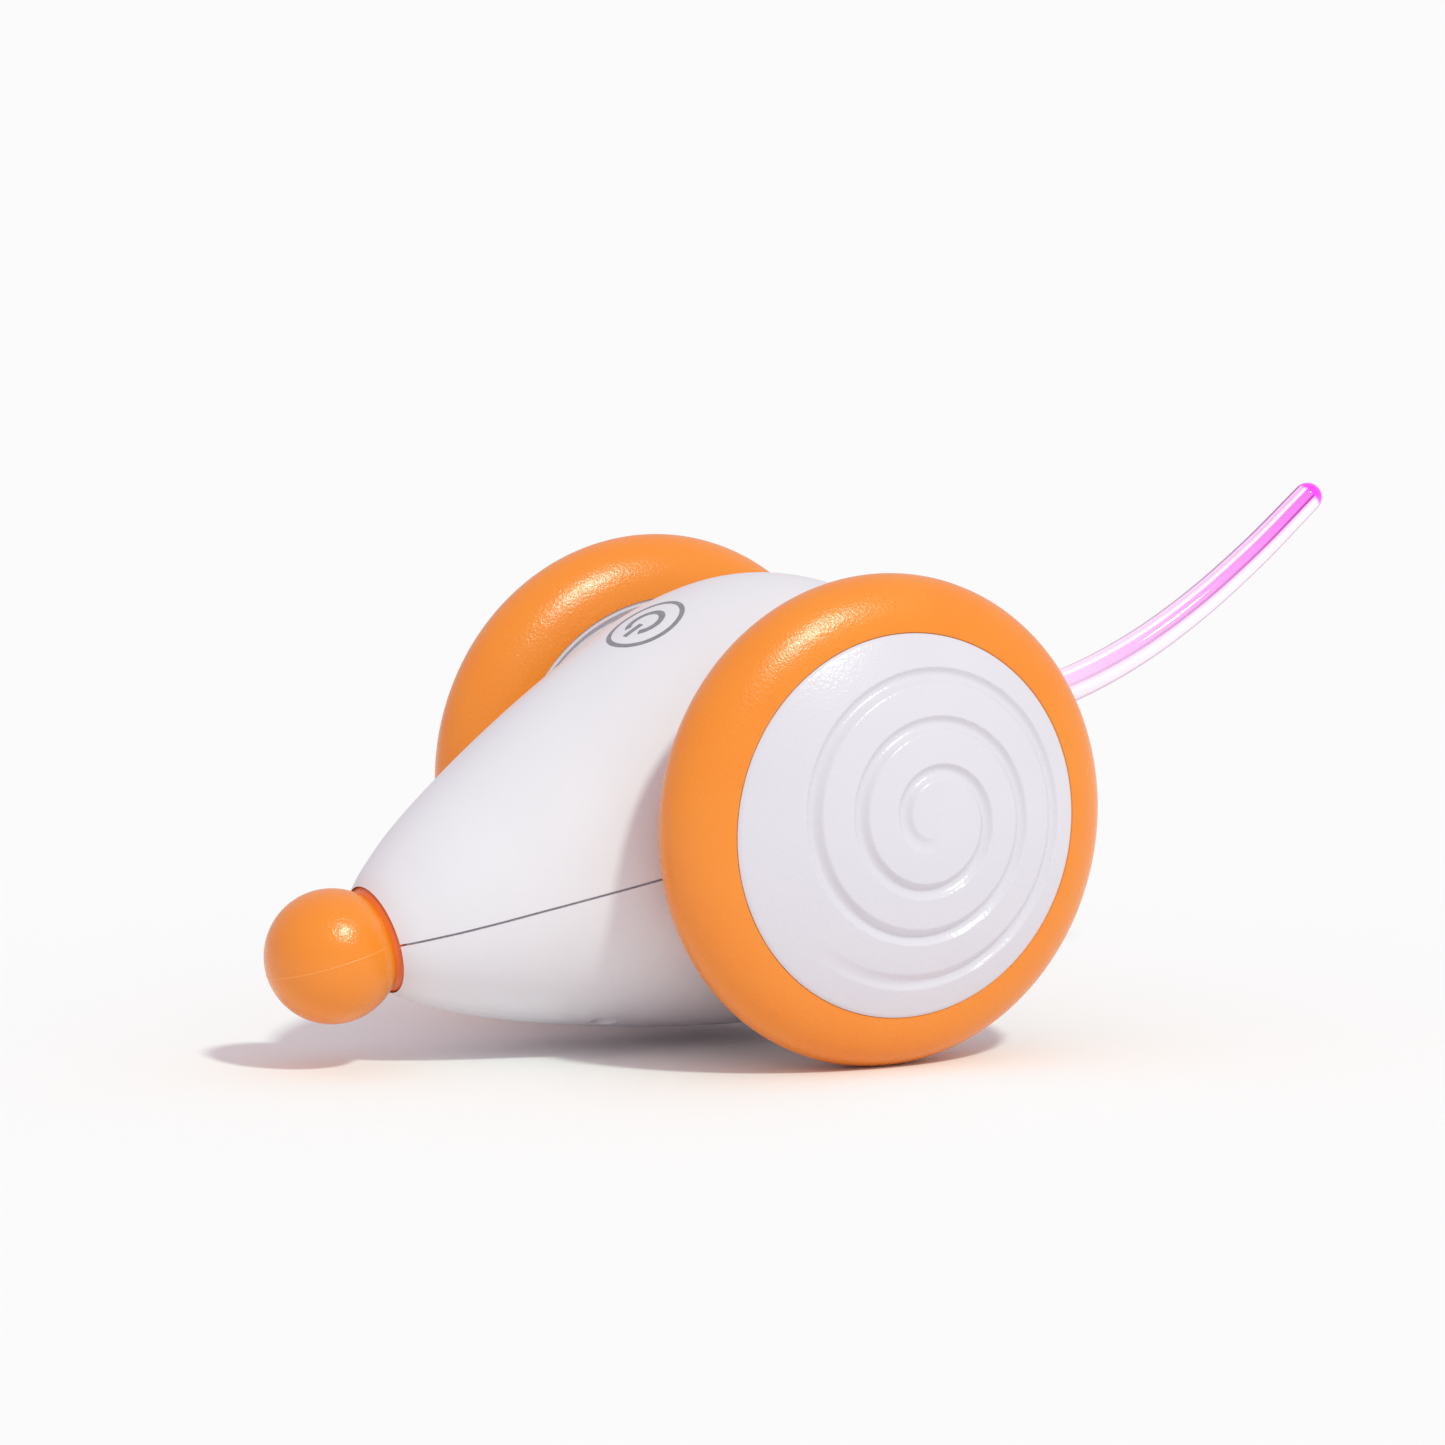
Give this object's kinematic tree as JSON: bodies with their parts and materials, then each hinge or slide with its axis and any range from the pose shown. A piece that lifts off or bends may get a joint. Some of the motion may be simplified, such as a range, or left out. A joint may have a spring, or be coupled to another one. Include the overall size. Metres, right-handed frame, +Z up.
{
  "type": "wheeled mouse toy",
  "caption": "Self-driving mouse toy for pets: white teardrop body hung between two big soft orange tyres, orange ball nose and a glowing clear tail.",
  "frame": {"origin": "on the ground under the middle of the object's length and width, with both wheels resting on z = 0", "axes": "+X towards the nose, +Y to the mouse's left along the wheel axis, +Z up"},
  "size_m": [0.1706, 0.0942, 0.0742],
  "materials": {
    "shell_white": "satin",
    "orange_rubber": "satin",
    "soft_white": "matte",
    "clear_tail": "gloss",
    "led": "gloss",
    "inner_plastic": "matte",
    "gear_plastic": "satin",
    "board_green": "satin",
    "cell_foil": "satin",
    "motor_can": "satin",
    "steel": "satin",
    "brass": "satin"
  },
  "bodies": {
    "body": {"upper_shell": "shell_white", "lower_shell": "shell_white", "nose_ball": "orange_rubber", "nose_core": "inner_plastic", "tail": "clear_tail", "tail_socket": "soft_white", "tail_led": "led", "chassis": "inner_plastic", "battery": "cell_foil", "battery_tray": "inner_plastic", "ballast": "steel", "main_board": "board_green", "touch_spring": "steel", "charge_board": "board_green", "usb_socket": "steel", "axle_bushes": "brass", "gear_pins": "steel", "shell_screws": "steel", "board_screws": "steel", "gearbox_screws": "steel", "motor_screws": "steel", "gearbox_plate_left": "inner_plastic", "gearbox_cover_left": "inner_plastic", "motor_left": "motor_can", "gearbox_plate_right": "inner_plastic", "gearbox_cover_right": "inner_plastic", "motor_right": "motor_can"},
    "wheel_left": {"tyre_left": "orange_rubber", "wheel_disc_left": "shell_white", "hubcap_left": "shell_white", "wheel_shaft_left": "steel", "wheel_screw_left": "steel", "output_gear_left": "gear_plastic"},
    "second_gear_left": {"second_gear_left": "gear_plastic"},
    "first_gear_left": {"first_gear_left": "gear_plastic"},
    "rotor_left": {"motor_shaft_left": "steel", "motor_pinion_left": "brass"},
    "wheel_right": {"tyre_right": "orange_rubber", "wheel_disc_right": "shell_white", "hubcap_right": "shell_white", "wheel_shaft_right": "steel", "wheel_screw_right": "steel", "output_gear_right": "gear_plastic"},
    "second_gear_right": {"second_gear_right": "gear_plastic"},
    "first_gear_right": {"first_gear_right": "gear_plastic"},
    "rotor_right": {"motor_shaft_right": "steel", "motor_pinion_right": "brass"}
  },
  "joints": [
    {"name": "wheel_left_spin", "type": "hinge", "parent": "body", "child": "wheel_left", "pos_m": [0.00848, 0.0334, 0.034], "axis": [0, 1, 0], "continuous": true},
    {"name": "second_gear_left_spin", "type": "hinge", "parent": "body", "child": "second_gear_left", "pos_m": [0.00739, 0.018, 0.02205], "axis": [0, 1, 0], "continuous": true},
    {"name": "first_gear_left_spin", "type": "hinge", "parent": "body", "child": "first_gear_left", "pos_m": [-0.00219, 0.018, 0.02841], "axis": [0, 1, 0], "continuous": true},
    {"name": "rotor_left_spin", "type": "hinge", "parent": "body", "child": "rotor_left", "pos_m": [-0.00894, 0.018, 0.03544], "axis": [0, 1, 0], "continuous": true},
    {"name": "wheel_right_spin", "type": "hinge", "parent": "body", "child": "wheel_right", "pos_m": [0.00848, -0.0334, 0.034], "axis": [0, 1, 0], "continuous": true},
    {"name": "second_gear_right_spin", "type": "hinge", "parent": "body", "child": "second_gear_right", "pos_m": [0.00739, -0.018, 0.02205], "axis": [0, 1, 0], "continuous": true},
    {"name": "first_gear_right_spin", "type": "hinge", "parent": "body", "child": "first_gear_right", "pos_m": [-0.00219, -0.018, 0.02841], "axis": [0, 1, 0], "continuous": true},
    {"name": "rotor_right_spin", "type": "hinge", "parent": "body", "child": "rotor_right", "pos_m": [-0.00894, -0.018, 0.03544], "axis": [0, 1, 0], "continuous": true}
  ],
  "couplings": [
    {"joint": "second_gear_left_spin", "follows": "wheel_left_spin", "ratio": -3},
    {"joint": "first_gear_left_spin", "follows": "wheel_left_spin", "ratio": 10.8},
    {"joint": "rotor_left_spin", "follows": "wheel_left_spin", "ratio": -36},
    {"joint": "second_gear_right_spin", "follows": "wheel_right_spin", "ratio": -3},
    {"joint": "first_gear_right_spin", "follows": "wheel_right_spin", "ratio": 10.8},
    {"joint": "rotor_right_spin", "follows": "wheel_right_spin", "ratio": -36}
  ]
}
